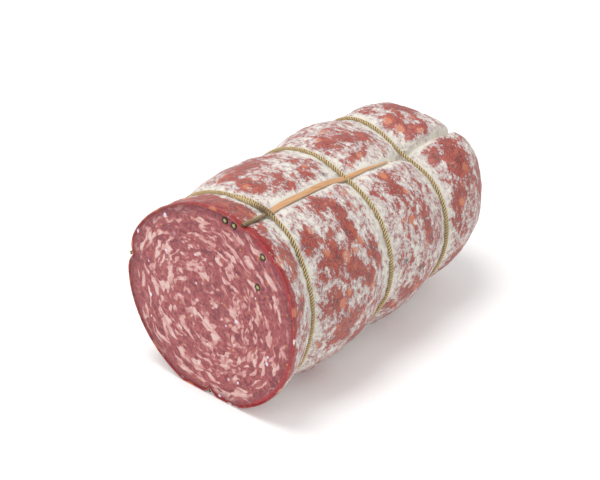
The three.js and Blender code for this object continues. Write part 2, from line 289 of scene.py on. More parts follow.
@dataclass(frozen=True)
class Hoop:
    """A hoop of twine: place, how far it is drawn in, its crease, and where it runs off round."""

    node: str
    along: float
    tight: float
    crease: float
    pulls: tuple[tuple[float, float, float], ...]


@dataclass(frozen=True)
class Groove:
    """A lengthwise groove: angle at the cut, and depth and width by share of the length."""

    angle: float
    depth: tuple[tuple[float, float], ...]
    width: tuple[tuple[float, float], ...] = ((0, 6), (1, 6))


def turn(start: Array | float, end: Array | float) -> Array:
    """Shortest way round from one angle to another, in degrees."""
    return (np.asarray(end) - start + 180) % 360 - 180


def bell(distance: Array, spread: float) -> Array:
    """A bell curve, 1 at no distance."""
    return np.exp(-(distance / spread) ** 2)


def radial(angle: Array | float) -> Array:
    """Directions straight out from the sausage's axis."""
    round_ = np.radians(angle)
    return np.stack([np.cos(round_), 0 * round_, np.sin(round_)], -1)


def listed(places: Sequence[tuple[float, float]], share: Array) -> Array:
    """Value at a share of the length, from pairs of share and value."""
    return np.interp(share, [place for place, _ in places], [value for _, value in places])


@dataclass
class Body:
    """The lobed body that the skin, the meat and every cord take their places from."""

    length: float = 262.0
    cut_radius: float = 76.5
    taper: float = 7.5
    taper_power: float = 0.8
    end_length: float = 84.0
    end_powers: tuple[float, float] = (2.6, 2.3)
    groove_power: float = 1.5
    flattening: float = 3.4
    twine_radius: float = 1.5
    crease_power: float = 1.25
    bite: float = 0.35
    hoop_clearance: float = 0.3
    drift_by_share: tuple[tuple[float, float], ...] = (
        (0, -3), (0.06, -2.6), (0.13, 0), (0.38, -0.5), (0.56, -6), (0.69, -4), (0.82, -5), (1, -6),
    )
    lumps: tuple[Lump, ...] = (
        Lump(42, 0, 8.5, 32, 26), Lump(125, 0, -4, 30, 25), Lump(225, 0, 1.5, 40, 30),
        Lump(150, 0.325, 2.5, 30, 40), Lump(69, 0.27, -2, 18, 24), Lump(63, 0.56, -3, 18, 20),
        Lump(118, 0.85, 4, 30, 40), Lump(320, 0.86, -3.5, 40, 40), Lump(288, 0.5, 6, 18, 95),
        Lump(252, 0.5, 5, 18, 95), Lump(128, 0.57, 5, 24, 26), Lump(100, 0.97, -16, 32, 19),
        Lump(45, 0.88, 7, 20, 26),
    )
    hoops: tuple[Hoop, ...] = (
        Hoop("hoop_front", 30, 7.5, 13, ((56, 5.5, 22), (345, -3, 25))),
        Hoop("hoop_middle", 111.3, 7.5, 15,
             ((67, -3.2, 18), (125, 2, 25), (325, -3, 30), (170, -2, 15), (270, -2, 20))),
        Hoop("hoop_rear", 180, 11.5, 15,
             ((66, -9.5, 24), (120, 5, 22), (330, -1, 30), (170, -2, 15), (270, -2, 20))),
    )
    top: Groove = Groove(68.5, ((0, 2.2), (0.54, 2.2), (0.62, 4.5), (0.82, 9), (1, 9)),
                         ((0, 6), (0.54, 5), (0.62, 2.6), (0.9, 2.4), (1, 6)))
    side: Groove = Groove(173, ((0, 4), (1, 8)))
    bottom: Groove = Groove(273, ((0, 8.6), (0.5, 11.6), (1, 8.6)))

    def __post_init__(self) -> None:
        """Works out where the sausage's axis and cut face lie in the frame."""
        low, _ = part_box("filling")
        self.cut_y = low.y / MM
        self.axis_z = self.cut_radius - self.flattening
        hoop_low, hoop_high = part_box("hoop_middle")
        outline = self.hoop_line(self.hoops[1], np.linspace(0, 360, 721))
        middle = (outline[:, 0].min() + outline[:, 0].max()) / 2
        self.axis_x = (hoop_low.x + hoop_high.x) / (2 * MM) - middle

    @property
    def underside(self) -> float:
        """Height of the surface it lies on, from the axis."""
        return self.flattening - self.cut_radius

    def drift(self, along: Array | float) -> Array:
        """How far the grooves have drifted round at a place along."""
        return listed(self.drift_by_share, np.asarray(along) / self.length)

    def loose_radius(self, along: Array, angle: Array) -> Array:
        """Radius of the untied, lumpy body."""
        share = np.maximum(along, 0) / self.length
        radius = self.cut_radius - self.taper * share ** self.taper_power
        for lump in self.lumps:
            far = bell(along - lump.share * self.length, lump.along)
            radius = radius + lump.height * bell(turn(lump.angle, angle), lump.round) * far
        return radius

    def hoop_radius(self, hoop: Hoop, angle: Array) -> Array:
        """Radius of a hoop's centre line."""
        radius = self.cut_radius - hoop.tight + 0 * np.asarray(angle, float)
        for at, height, spread in hoop.pulls:
            radius = radius + height * bell(turn(at, angle), spread)
        return radius

    def hoop_line(self, hoop: Hoop, angle: Array) -> Array:
        """Places of a hoop's centre line, clear of what the sausage lies on."""
        line = radial(angle) * self.hoop_radius(hoop, angle)[..., None]
        line[..., 1] = hoop.along
        lowest = self.underside + self.twine_radius + self.hoop_clearance
        line[..., 2] = np.maximum(line[..., 2], lowest)
        return line

    def tied_radius(self, along: Array, angle: Array) -> Array:
        """Radius drawn in at the hoops and rounded off at the far end."""
        radius = self.loose_radius(along, angle)
        for hoop in self.hoops:
            seat = self.hoop_radius(hoop, angle) - self.twine_radius + self.bite
            drawn_in = self.loose_radius(hoop.along + 0 * along, angle) - seat
            away = np.abs(along - hoop.along) / hoop.crease
            radius = radius - drawn_in * np.exp(-away ** self.crease_power)
        into = np.clip((along - self.length + self.end_length) / self.end_length, 0, 1)
        inner, outer = self.end_powers
        return radius * (1 - into ** inner) ** (1 / outer)

    def groove_depth(self, along: Array, angle: Array, wider: Array | float = 0.0) -> Array:
        """Depth of the lengthwise grooves, cut wider for what lies under the skin."""
        radius, share = self.tied_radius(along, angle), along / self.length
        depth = 0 * radius
        for groove in (self.top, self.side, self.bottom):
            round_ = np.abs(turn(groove.angle + self.drift(along), angle))
            away = radius * np.radians(round_) / (listed(groove.width, share) + wider)
            shape = np.exp(-away ** self.groove_power)
            depth = np.maximum(depth, listed(groove.depth, share) * shape)
        return depth

    def tied_point(self, along: Array, angle: Array) -> Array:
        """Places of the tied body before the grooves."""
        point = radial(angle) * self.tied_radius(along, angle)[..., None]
        point[..., 1] = along
        return point

    def outward(self, along: Array, angle: Array) -> Array:
        """Outward directions of the tied body before the grooves."""
        across = self.tied_point(along, angle + 0.5) - self.tied_point(along, angle - 0.5)
        ahead = np.minimum(along + 0.5, self.length)
        behind = np.maximum(np.minimum(along, self.length - 0.02) - 0.5, 0)
        onward = self.tied_point(ahead, angle) - self.tied_point(behind, angle)
        normal = np.cross(onward, across)
        size = np.linalg.norm(normal, axis=-1, keepdims=True)
        pole = (np.asarray(along) > self.length - 0.01)[..., None] | (size < 1e-9)
        return np.where(pole, [0.0, 1.0, 0.0], normal / np.maximum(size, 1e-9))

    def skin(self, along: Array, angle: Array, above: Array | float = 0.0) -> Array:
        """Places of the skin's outside.

        Args:
            along: millimetres from the cut face.
            angle: degrees round.
            above: how far above the skin, in millimetres.

        Returns:
            The places, in millimetres from the middle of the cut face.
        """
        along, angle = np.broadcast_arrays(np.asarray(along, float), np.asarray(angle, float))
        normal = self.outward(along, angle)
        above = np.broadcast_to(above, along.shape)
        inward = -normal * self.groove_depth(along, angle, np.maximum(-above, 0))[..., None]
        inward[..., 1] = np.where(along <= 0, 0, inward[..., 1])
        point = self.tied_point(along, angle) + inward
        point = point + normal * above[..., None]
        point[..., 2] = np.maximum(point[..., 2], self.underside - np.minimum(above, 0))
        return point

    def placed(self, points: Array) -> Array:
        """Millimetre places from the middle of the cut face, as metres in the frame."""
        return (points + [self.axis_x, self.cut_y, self.axis_z]) * MM


def filtered(points: Array, passes: int, closed: bool = False) -> Array:
    """A line of places with its kinks eased.

    Args:
        points: the places.
        passes: how many times it is eased.
        closed: whether the line joins up.

    Returns:
        The eased line.
    """
    for _ in range(passes):
        around = (np.roll(points, 1, 0) + np.roll(points, -1, 0) + 2 * points) / 4
        if not closed:
            around[0], around[-1] = points[0], points[-1]
        points = around
    return points


def evenly(rows: Array, step: float, closed: bool = False) -> Array:
    """A line cut into even steps.

    Args:
        rows: the line's places, each with any values that go with it behind its three numbers.
        step: about how long a step is.
        closed: whether the line joins up.

    Returns:
        The new rows.
    """
    loop = np.vstack([rows, rows[:1]]) if closed else rows
    run = np.concatenate([[0], np.cumsum(np.linalg.norm(np.diff(loop[:, :3], axis=0), axis=1))])
    count = max(2, int(round(run[-1] / step)))
    at = np.linspace(0, run[-1], count + 1)[: count if closed else None]
    return np.stack([np.interp(at, run, column) for column in loop.T], -1)


def clouds(points: Array, size: float, seed: float, octaves: int = 3) -> Array:
    """Smooth noise at each place, about -1 to 1.

    Args:
        points: the places, in the unit of size.
        size: size of its largest clouds.
        seed: shifts it, so that two noises differ.
        octaves: how many layers it has.

    Returns:
        The noise at each place.
    """
    flat = points.reshape(-1, 3) / size + seed
    values = [noise.fractal(Vector(place), ROUGHNESS, FINER, octaves, noise_basis="PERLIN_ORIGINAL")
              for place in flat]
    return np.array(values).reshape(points.shape[:-1])


def mesh_piece(name: str, points: Array, faces: Sequence[Sequence[int]],
               replaced: Sequence[str], material: Material, values: dict[str, Array]) -> Piece:
    """Makes a smooth piece of a mesh and ties it to the frame.

    Args:
        name: the piece's name.
        points: its corners, in metres.
        faces: its faces' corners.
        replaced: the frame's nodes that it stands for.
        material: its finish.
        values: numbers that its corners carry for the finish, by name.

    Returns:
        The piece.
    """
    mesh = bpy.data.meshes.new(name)
    mesh.from_pydata(points.tolist(), [], faces)
    mesh.shade_smooth()
    for key, numbers in values.items():
        vector = numbers.ndim == 2
        layer = mesh.attributes.new(key, "FLOAT_VECTOR" if vector else "FLOAT", "POINT")
        layer.data.foreach_set("vector" if vector else "value", numbers.astype(np.float32).ravel())
    mesh.materials.append(material)
    piece = bpy.data.objects.new(name, mesh)
    bpy.context.scene.collection.objects.link(piece)
    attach(piece, BODY)
    if replaced:
        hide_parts(*replaced)
    LOG.info("%s: %d corners, %d faces", name, len(mesh.vertices), len(mesh.polygons))
    return piece


def rows_of_faces(rows: int, columns: int, start: int = 0) -> list[list[int]]:
    """Quads between rings of corners that go round.

    Args:
        rows: how many rings there are.
        columns: how many corners a ring has.
        start: number of the first corner.

    Returns:
        The faces' corners.
    """
    row, column = np.meshgrid(np.arange(rows - 1), np.arange(columns), indexing="ij")
    here = start + row * columns + column
    beside = start + row * columns + (column + 1) % columns
    return np.stack([here, here + columns, beside + columns, beside], -1).reshape(-1, 4).tolist()


def fan(ring: int, columns: int, tip: int, outward: bool = True) -> list[list[int]]:
    """Triangles from a ring of corners to one corner.

    Args:
        ring: number of the ring's first corner.
        columns: how many corners it has.
        tip: number of the single corner.
        outward: whether the tip comes after the ring.

    Returns:
        The faces' corners.
    """
    pairs = [(ring + column, ring + (column + 1) % columns) for column in range(columns)]
    return [[first, tip, second] if outward else [second, tip, first] for first, second in pairs]


def end_caps(first: int, last: int, columns: int) -> list[list[int]]:
    """Flat ends of a run of rings: the first ring's and the last one's corners."""
    return [list(range(first, first + columns)), list(range(last, last + columns))[::-1]]


# ---- finishes -----------------------------------------------------------------------------------
@dataclass(frozen=True)
class CasingFinish:
    """Dry skin, brown-red with fat showing through, under patches of white powdery mould."""

    maroon: Colour = linear(100, 40, 44)
    brown_red: Colour = linear(152, 58, 50)
    rust: Colour = linear(180, 82, 56)
    wet_red: Colour = linear(150, 34, 40)
    veiled: Colour = linear(182, 128, 118)
    fat: Colour = linear(188, 86, 60)
    fat_pale: Colour = linear(210, 130, 86)
    mould: Colour = linear(224, 219, 209)
    mould_thin: Colour = linear(194, 178, 176)
    speck: Colour = linear(118, 82, 84)
    spot: Colour = linear(70, 80, 74)
    fat_size: float = 13.0

    def material(self) -> Material:
        """Builds the skin's material."""
        graph = Graph("casing_skin")
        crease, bare_at, wet_at, spots = map(graph.read, ("crease", "bare", "wet", "spots"))
        place = graph.place((1, 1.35, 1))
        ragged = graph.swirled(place, 6, 5)
        torn = graph.swirled(ragged, 1.8, 0.8)
        large = graph.noise(ragged, 14, 2) - 0.5
        middle = graph.noise(torn, 5.0, 3, 0.55) - 0.5
        fine = graph.noise(torn, 1.8, 2, 0.6) - 0.5
        dots = graph.noise(place, 0.85, 2, 0.6) - 0.5
        field = bare_at * 0.56 + large * 0.9 + middle * 1.55 + fine * 1.15 + dots * 0.5
        field = field - crease * 0.62 + 0.06
        wet = (wet_at + middle * 0.9 + fine * 0.5).step(0.34, 0.52)
        bare = field.step(0.06, 0.28) | wet

        loose = graph.swirled(graph.place((1, 1.25, 1)), 9, 3)
        distance, kept, drawn = graph.cells(loose, self.fat_size)
        inside = drawn * 0.18 + 0.29 - distance + middle * 0.12
        blob = inside.step(0.0, 0.18) * kept.step(0.38, 0.46)
        skin = graph.coats(
            self.maroon,
            (graph.noise(ragged, 5, 3, 0.6).step(0.36, 0.56), self.brown_red),
            (graph.noise(torn, 6, 2).step(0.5, 0.66) * 0.75, self.rust),
            (blob * 0.85, graph.coats(self.fat, (inside.step(0.06, 0.22), self.fat_pale))),
            ((fine + dots).step(-0.14, 0.16) * (0.45 - wet * 0.4), self.veiled),
            (wet * (1 - blob * 0.7) * 0.7, self.wet_red),
        )
        grime = graph.noise(graph.swirled(place, 3, 2), 0.9, 2, 0.6)
        specks = grime.step(0.56, 0.66) * (large + middle).step(-0.16, 0.12)
        colour = graph.coats(
            self.mould,
            (field.step(-0.3, 0.1), self.mould_thin),
            (specks * (1 - crease * 0.6) * 0.75, self.speck),
            (bare, skin),
            (spots * (0.9 + fine * 2).clamped(), self.spot),
        )
        powder = graph.noise(place, 0.7, 3, 0.7)
        wrinkles = graph.noise(graph.place((1, 0.35, 1)), 1.6, 2, 0.5)
        cover = 1 - bare
        relief = graph.bump(cover * 0.8 + powder * cover * 0.9, 0.2)
        relief = graph.bump(wrinkles * (1 - cover * 0.5) + blob * bare * 0.7, 0.3, relief)
        rough = 0.46 + cover * 0.42 + fine * 0.3 - wet * 0.16
        return graph.surface({
            "Base Color": colour, "Roughness": rough.clamped(), "Normal": relief,
            "Subsurface Weight": 0.06, "Subsurface Scale": 0.002, "Specular IOR Level": 0.4,
        })


@dataclass(frozen=True)
class FillingFinish:
    """Moist cut meat: dark lean with pale fat, drawn out along the rim and loose in the middle."""

    axis_x: float
    axis_z: float
    lean_dark: Colour = linear(114, 40, 52)
    lean: Colour = linear(144, 58, 66)
    lean_warm: Colour = linear(178, 94, 90)
    fat_pink: Colour = linear(184, 114, 110)
    fat: Colour = linear(203, 150, 144)
    fat_white: Colour = linear(218, 184, 178)
    rim: Colour = linear(120, 40, 50)
    rim_bright: Colour = linear(170, 28, 40)
    rim_rust: Colour = linear(190, 76, 54)
    seed: Colour = linear(206, 142, 52)
    # pale lavender: partly white connective tissue, partly painted highlight
    tissue_and_glint: Colour = linear(232, 226, 244)
    dark: Colour = linear(62, 52, 44)
    drawn_out: float = 22.0

    def specks(self, graph: Graph, flat: Socket, size: float, share: float,
               radius: float) -> Num:
        """Small round bits here and there.

        Args:
            graph: the material's nodes.
            flat: places in the plane of the cut.
            size: how far apart they may lie, in millimetres.
            share: what share of those places has one.
            radius: their radius.

        Returns:
            1 in a bit and 0 elsewhere.
        """
        distance, kept, drawn = graph.cells(flat, size, dimensions="2D")
        wide = (drawn * 0.7 + 0.65) * (radius / size)
        near = (wide - distance).step(0, 0.25 * radius / size)
        return near * kept.step(1 - share, 1.01 - share)

    def material(self) -> Material:
        """Builds the meat's material."""
        graph = Graph("filling_meat")
        rim = graph.read("rim")
        here = graph.vector("SUBTRACT", graph.place(), (self.axis_x, 0, self.axis_z))
        pushed = graph.swirled(graph.swirled(here, 16, 9), 2.4, 1.5)
        x, _, z = graph.parts(pushed)
        reach = (x * x + z * z) ** 0.5 + 0.5
        rings = graph.joined(x / reach * self.drawn_out, reach, z / reach * self.drawn_out)
        outside = (reach + (graph.noise(here, 18, 2) - 0.5) * 46).step(20, 44)
        fray = graph.noise(pushed, 1.2, 3, 0.65) - 0.5

        def bits(outer: float, inner: float) -> Num:
            """What each bit of meat draws: drawn-out bits outside, loose ones in the middle."""
            drawn_out, loose = graph.cells(rings, outer, 0.3)[1], graph.cells(pushed, inner, 0.25)[1]
            return drawn_out * outside + loose * (1 - outside)

        share = bits(3.6, 7.0) * 0.58 + bits(1.9, 3.3) * 0.42 + fray * 0.3
        share = share - rim.step(12, 3) * 0.1
        fat = share.step(0.475, 0.6)
        lean = graph.coats(
            self.lean_dark, ((share + fray * 0.4).step(0.14, 0.4), self.lean),
            (graph.noise(pushed, 3, 3, 0.6).step(0.4, 0.66) * 0.8, self.lean_warm),
        )
        pale = graph.coats(
            self.fat_pink, (share.step(0.54, 0.66), self.fat),
            ((share + fray * 0.3).step(0.68, 0.84), self.fat_white),
        )
        edge = graph.noise(rings, 5, 2) - 0.5
        right = (x + edge * 30).step(18, 44)
        side_x, _, side_z = graph.parts(graph.swirled(here, 1.5, 0.7))
        flat = graph.joined(side_x, side_z)
        far = graph.vector("ADD", flat, (41, 17, 0))
        farther = graph.vector("ADD", graph.vector("MULTIPLY", flat, (1, 0.8, 1)), (9, 63, 0))
        # Small pale specks: partly white connective tissue, partly painted wet highlight; they are also
        # made glossier
        tissue_and_glint_specks = self.specks(graph, farther, 9.0, 0.14, 1.1)
        colour = graph.coats(
            lean, (fat, pale),
            ((rim + edge * 9).step(8.5, 1.6) * 0.75, self.rim),
            ((rim + edge * 7).step(3.6, 1.4) * right * 0.85, self.rim_bright),
            ((rim + edge).step(1.3, 0.5) * (1 - right) * 0.7, self.rim_rust),
            (self.specks(graph, flat, 8.0, 0.26, 0.62) * 0.85, self.seed),
            (self.specks(graph, far, 13.0, 0.14, 0.45) * 0.9, self.dark),
            (tissue_and_glint_specks * 0.8, self.tissue_and_glint),
        )
        relief = graph.bump(fat * 0.7 + fray * 1.2, 0.22)
        relief = graph.bump(graph.noise(rings, 0.8, 3, 0.7), 0.16, relief)
        rough = 0.42 - fat * 0.06 + fray * 0.5 - tissue_and_glint_specks * 0.2 - right * rim.step(5, 1) * 0.12
        return graph.surface({
            "Base Color": colour, "Roughness": rough.clamped(), "Normal": relief,
            "Subsurface Weight": 0.12, "Subsurface Scale": 0.003, "Specular IOR Level": 0.5,
        })


@dataclass(frozen=True)
class TwineFinish:
    """Natural twine with painted shade: dark between the plies, light on their crests, and stained where
    fat soaked in.
    """

    light: Colour = linear(232, 210, 164)
    khaki: Colour = linear(194, 165, 114)
    # painted shade in the hollows between the plies
    dark: Colour = linear(76, 55, 32)
    stain: Colour = linear(96, 72, 46)

    def material(self) -> Material:
        """Builds the twine's material."""
        graph = Graph("twine_fibre")
        fibre, stained = graph.carried("fibre"), graph.read("stain")
        streaks = graph.noise(graph.vector("MULTIPLY", fibre, (0.35, 1.6, 1)), 0.8, 3, 0.6)
        patches = graph.noise(graph.vector("MULTIPLY", fibre, (0.12, 0.2, 1)), 1.0, 2)
        uneven = streaks - 0.5
        colour = graph.coats(
            self.khaki, (streaks.step(0.42, 0.62), self.light),
            (patches.step(0.5, 0.7) * 0.3, self.khaki),
            # Painted shade: darker on the side of each ply that faces the others, where the plies meet
            ((graph.read("crest") + uneven * 0.5).step(0.78, 0.2), self.dark),
            ((stained + uneven * 0.6 * stained).clamped() * 0.9, self.stain),
        )
        return graph.surface({
            "Base Color": colour, "Roughness": 0.86 - stained * 0.3,
            "Normal": graph.bump(streaks, 0.2), "Specular IOR Level": 0.25, "Sheen Weight": 0.15,
        })


@dataclass(frozen=True)
class StripFinish:
    """Smooth pale reed with a lengthwise grain and one small slanting split."""

    pale: Colour = linear(210, 166, 124)
    tan: Colour = linear(194, 142, 96)
    dark: Colour = linear(176, 114, 62)
    split: Colour = linear(112, 72, 42)
    split_from: float = 76.0
    split_to: float = 85.0

    def material(self) -> Material:
        """Builds the reed's material."""
        graph = Graph("strip_reed")
        place = graph.carried("grain")
        grain = graph.noise(graph.vector("MULTIPLY", place, (0.06, 2.4, 1)), 1.0, 3, 0.6)
        broad = graph.noise(graph.vector("MULTIPLY", place, (0.03, 0.8, 1)), 1.0, 2)
        along, side, _ = graph.parts(place)
        off = side - (along - (self.split_from + self.split_to) / 2) * 0.36
        line = (off * off).step(0.09, 0.01) * along.step(self.split_from, self.split_from + 1)
        line = line * along.step(self.split_to, self.split_to - 1)
        colour = graph.coats(
            self.tan, (grain.step(0.36, 0.62), self.pale),
            (broad.step(0.56, 0.72) * 0.6, self.dark), (line * 0.8, self.split),
        )
        return graph.surface({
            "Base Color": colour, "Roughness": 0.42 + grain * 0.2,
            "Normal": graph.bump(grain - line, 0.12),
            "Subsurface Weight": 0.05, "Subsurface Scale": 0.001,
        })


@dataclass(frozen=True)
class PeppercornFinish:
    """Black-green wrinkled husk round a pale yellow-green core."""

    husk: Colour = linear(34, 38, 28)
    husk_light: Colour = linear(70, 72, 48)
    core: Colour = linear(190, 184, 128)
    core_deep: Colour = linear(150, 134, 66)

    def material(self) -> Material:
        """Builds the peppercorn's material."""
        graph = Graph("peppercorn_cut")
        mottle = graph.noise(graph.place(), 0.7, 3, 0.6)
        colour = graph.coats(
            self.husk, (mottle.step(0.45, 0.68), self.husk_light),
            (graph.read("core").step(0.35, 0.65),
             graph.coats(self.core_deep, (mottle.step(0.42, 0.6), self.core))),
        )
        return graph.surface({"Base Color": colour, "Roughness": 0.6 + (mottle - 0.5) * 0.4,
                              "Normal": graph.bump(mottle, 0.15)})


# ---- skin and meat ------------------------------------------------------------------------------
@dataclass(frozen=True)
class Patch:
    """A place on the skin: angle, distance along, its spread round and along, and strength."""

    angle: float
    along: float
    round: float
    length: float
    strength: float = 1.0


def patches(*rows: tuple[float, ...]) -> tuple[Patch, ...]:
    """Patches from rows of their numbers."""
    return tuple(Patch(*row) for row in rows)


@dataclass
class Casing:
    """The skin: pleated by the hoops, turned in at the cut, closed round the far end."""

    body: Body
    finish: CasingFinish
    columns: int = 540
    wall: float = 0.8
    rim_turn: float = 0.7
    rim_reach: float = 3.0
    swell: float = 0.7
    grain: float = 0.22
    pleat: float = 0.9
    pleat_reach: float = 9.0
    hoop_crease: float = 5.0
    groove_crease: float = 6.0
    sink: float = 0.45
    end_from: float = 190.0
    end_rings: int = 86
    inner_every: int = 6
    bare: tuple[Patch, ...] = patches(
        (61, 70, 9, 9), (53, 81, 8, 5), (43, 42, 8, 8), (40, 77, 13, 6), (22, 94, 8, 5, 0.8),
        (19, 70, 10, 8), (10, 83, 8, 6, 0.9), (7, 47, 9, 9), (-9, 64, 9, 10), (-18, 58, 9, 12),
        (30, 56, 14, 11, 0.7), (-30, 85, 14, 14, 0.8), (85, 66, 8, 6), (77, 64, 7, 6, 0.8),
        (78, 82, 7, 8, 0.6), (92, 45, 10, 7, 0.9), (110, 62, 12, 22, 0.9), (94, 90, 8, 5, 0.6),
        (94, 128, 10, 8), (90, 142, 9, 8), (86, 154, 8, 7), (75, 133, 5, 9, 0.6),
        (42, 141, 12, 9, 0.7), (50, 117, 8, 5, 0.6), (25, 117, 7, 3, 0.5), (26, 134, 6, 5, 0.6),
        (14, 153, 15, 5), (-22, 143, 8, 16, 0.9), (58, 139, 7, 8, 0.7), (-30, 120, 8, 10, 0.6),
        (88, 194, 9, 8), (76, 196, 9, 7, 0.8), (94, 213, 14, 10), (70, 203, 8, 8, 0.9),
        (52, 194, 9, 7), (55, 208, 12, 9), (38, 207, 14, 10), (22, 197, 12, 9, 0.9),
        (8, 192, 10, 5, 0.7), (100, 30, 10, 5, 0.4), (130, 0, 60, 5, 1.9), (190, 0, 60, 5, 1.9),
        (90, 11, 26, 10, 1.7), (75, 17, 9, 8, 1.3), (42, 12, 9, 7), (20, 12, 7, 5, 0.8),
        (150, 70, 12, 14, 0.8), (205, 150, 16, 15, 0.8), (132, 150, 14, 10, 0.8),
        (225, 60, 16, 12, 0.8), (165, 218, 16, 12, 0.8), (245, 105, 12, 15, 0.6),
        (300, 60, 12, 12, 0.8), (310, 150, 12, 12, 0.8), (330, 205, 14, 12, 0.9),
        (200, 215, 14, 12, 0.7), (140, 195, 14, 10, 0.8), (20, 232, 20, 10, 0.8),
        (190, 45, 12, 10, 0.8), (160, 120, 12, 14, 0.7), (75, 240, 14, 8, 0.7),
    )
    wet: tuple[Patch, ...] = patches(
        (92, 1, 30, 6), (60, 1, 25, 5), (25, 0, 30, 5.5), (-15, 0, 25, 6.5), (-50, 0, 30, 9),
        (260, 0, 50, 5, 0.8),
    )
    spots: tuple[Patch, ...] = patches(
        (4, 126, 1.6, 2.4), (-7, 144, 1.8, 3), (74, 98, 2, 2.5, 0.7),
    )

    def stations(self) -> Array:
        """Distances along at which the outer skin has a ring, the pole left out."""
        near = np.array([0, 0.25, 0.6, 1.0, 1.5, 2.2])
        middle = np.arange(3.0, self.end_from, 1.0)
        bend = np.sin(np.linspace(0, math.pi / 2, self.end_rings))
        end = self.end_from + (self.body.length - self.end_from) * bend
        return np.concatenate([near, middle, end[:-1]])

    def relief(self, points: Array, along: Array) -> Array:
        """How far the skin's lumps and pleats stand above the plain body, in millimetres.

        Args:
            points: places on the plain body.
            along: their distances along.

        Returns:
            The heights, mostly below 0.
        """
        lumps = clouds(points, 13, 3.1, 3) * self.swell
        grains = clouds(points * [1, 1.3, 1], 4.0, 8.7, 2) * self.grain
        folds = clouds(points * [1, 0.22, 1], 3.4, 5.5, 2) * self.pleat
        near = sum(bell(along - hoop.along, self.pleat_reach) for hoop in self.body.hoops)
        fade = np.clip((self.body.length - along) / 12, 0, 1) * np.clip(along / 4, 0.15, 1)
        return (lumps - self.sink + grains + folds * near) * fade

    def round_from(self, start: Array | float, angle: Array) -> Array:
        """Way round the skin from one angle to another, in millimetres."""
        return np.radians(turn(start, angle)) * self.body.cut_radius

    def patched(self, places: Sequence[Patch], along: Array, angle: Array) -> Array:
        """How strongly a list of patches covers each place."""
        total = np.zeros(along.shape)
        for patch in places:
            near = bell(self.round_from(patch.angle, angle), patch.round)
            near = near * bell(along - patch.along, patch.length) * patch.strength
            total = np.maximum(total, near)
        return total

    def creased(self, along: Array, angle: Array) -> Array:
        """How close each place is to a hoop or a lengthwise groove, from 0 to 1."""
        body = self.body
        total = np.zeros(along.shape)
        for hoop in body.hoops:
            away = np.abs(along - hoop.along) / self.hoop_crease
            total = np.maximum(total, np.exp(-away ** 1.6))
        for groove in (body.top, body.side, body.bottom):
            away = np.abs(self.round_from(groove.angle + body.drift(along), angle)) / self.groove_crease
            fade = np.clip((along - 22) / 8, 0, 1) if groove is body.top else np.clip(along / 10, 0, 1)
            total = np.maximum(total, np.exp(-away ** 1.8) * fade)
        return total

    def shell(self, stations: Array, depth: float) -> tuple[Array, Array, Array]:
        """Rings of the skin at a depth.

        Args:
            stations: the rings' distances along.
            depth: how far inside the outer skin, in millimetres.

        Returns:
            The places, their distances along and their angles, ring by ring.
        """
        angles = np.arange(self.columns) * 360 / self.columns
        along, angle = np.meshgrid(stations, angles, indexing="ij")
        angle = angle + self.body.drift(along)
        plain = self.body.skin(along, angle)
        turned_in = self.rim_turn * np.clip(1 - along / self.rim_reach, 0, 1) ** 2
        above = self.relief(plain, along) - turned_in - depth
        places = self.body.skin(along, angle, above)
        places[..., 1] = np.maximum(places[..., 1], 0)
        return places, along, angle

    def build(self) -> Piece:
        """Makes the skin as one closed piece."""
        outer_at = self.stations()
        inner_at = outer_at[::self.inner_every]
        outer, along, angle = self.shell(outer_at, 0)
        inner, inner_along, inner_angle = self.shell(inner_at, self.wall)
        pole = np.full(2, self.body.length)
        ends = self.body.skin(pole, 0.0, np.array([0, -self.wall]))
        points = np.concatenate([outer.reshape(-1, 3), inner.reshape(-1, 3), ends])
        along = np.concatenate([along.ravel(), inner_along.ravel(), pole])
        angle = np.concatenate([angle.ravel(), inner_angle.ravel(), 0 * pole])
        first_inner = outer.shape[0] * self.columns
        tips = first_inner + inner.shape[0] * self.columns
        faces = rows_of_faces(len(outer_at), self.columns)
        faces += fan(first_inner - self.columns, self.columns, tips)
        faces += [face[::-1] for face in rows_of_faces(len(inner_at), self.columns, first_inner)]
        faces += fan(tips - self.columns, self.columns, tips + 1, outward=False)
        for column in range(self.columns):
            after = (column + 1) % self.columns
            faces.append([column, after, first_inner + after, first_inner + column])
        covers = {"bare": self.bare, "wet": self.wet, "spots": self.spots}
        values = {name: self.patched(places, along, angle) for name, places in covers.items()}
        values["crease"] = self.creased(along, angle)
        return mesh_piece("casing_skin", self.body.placed(points), faces, ["casing"],
                          self.finish.material(), values)


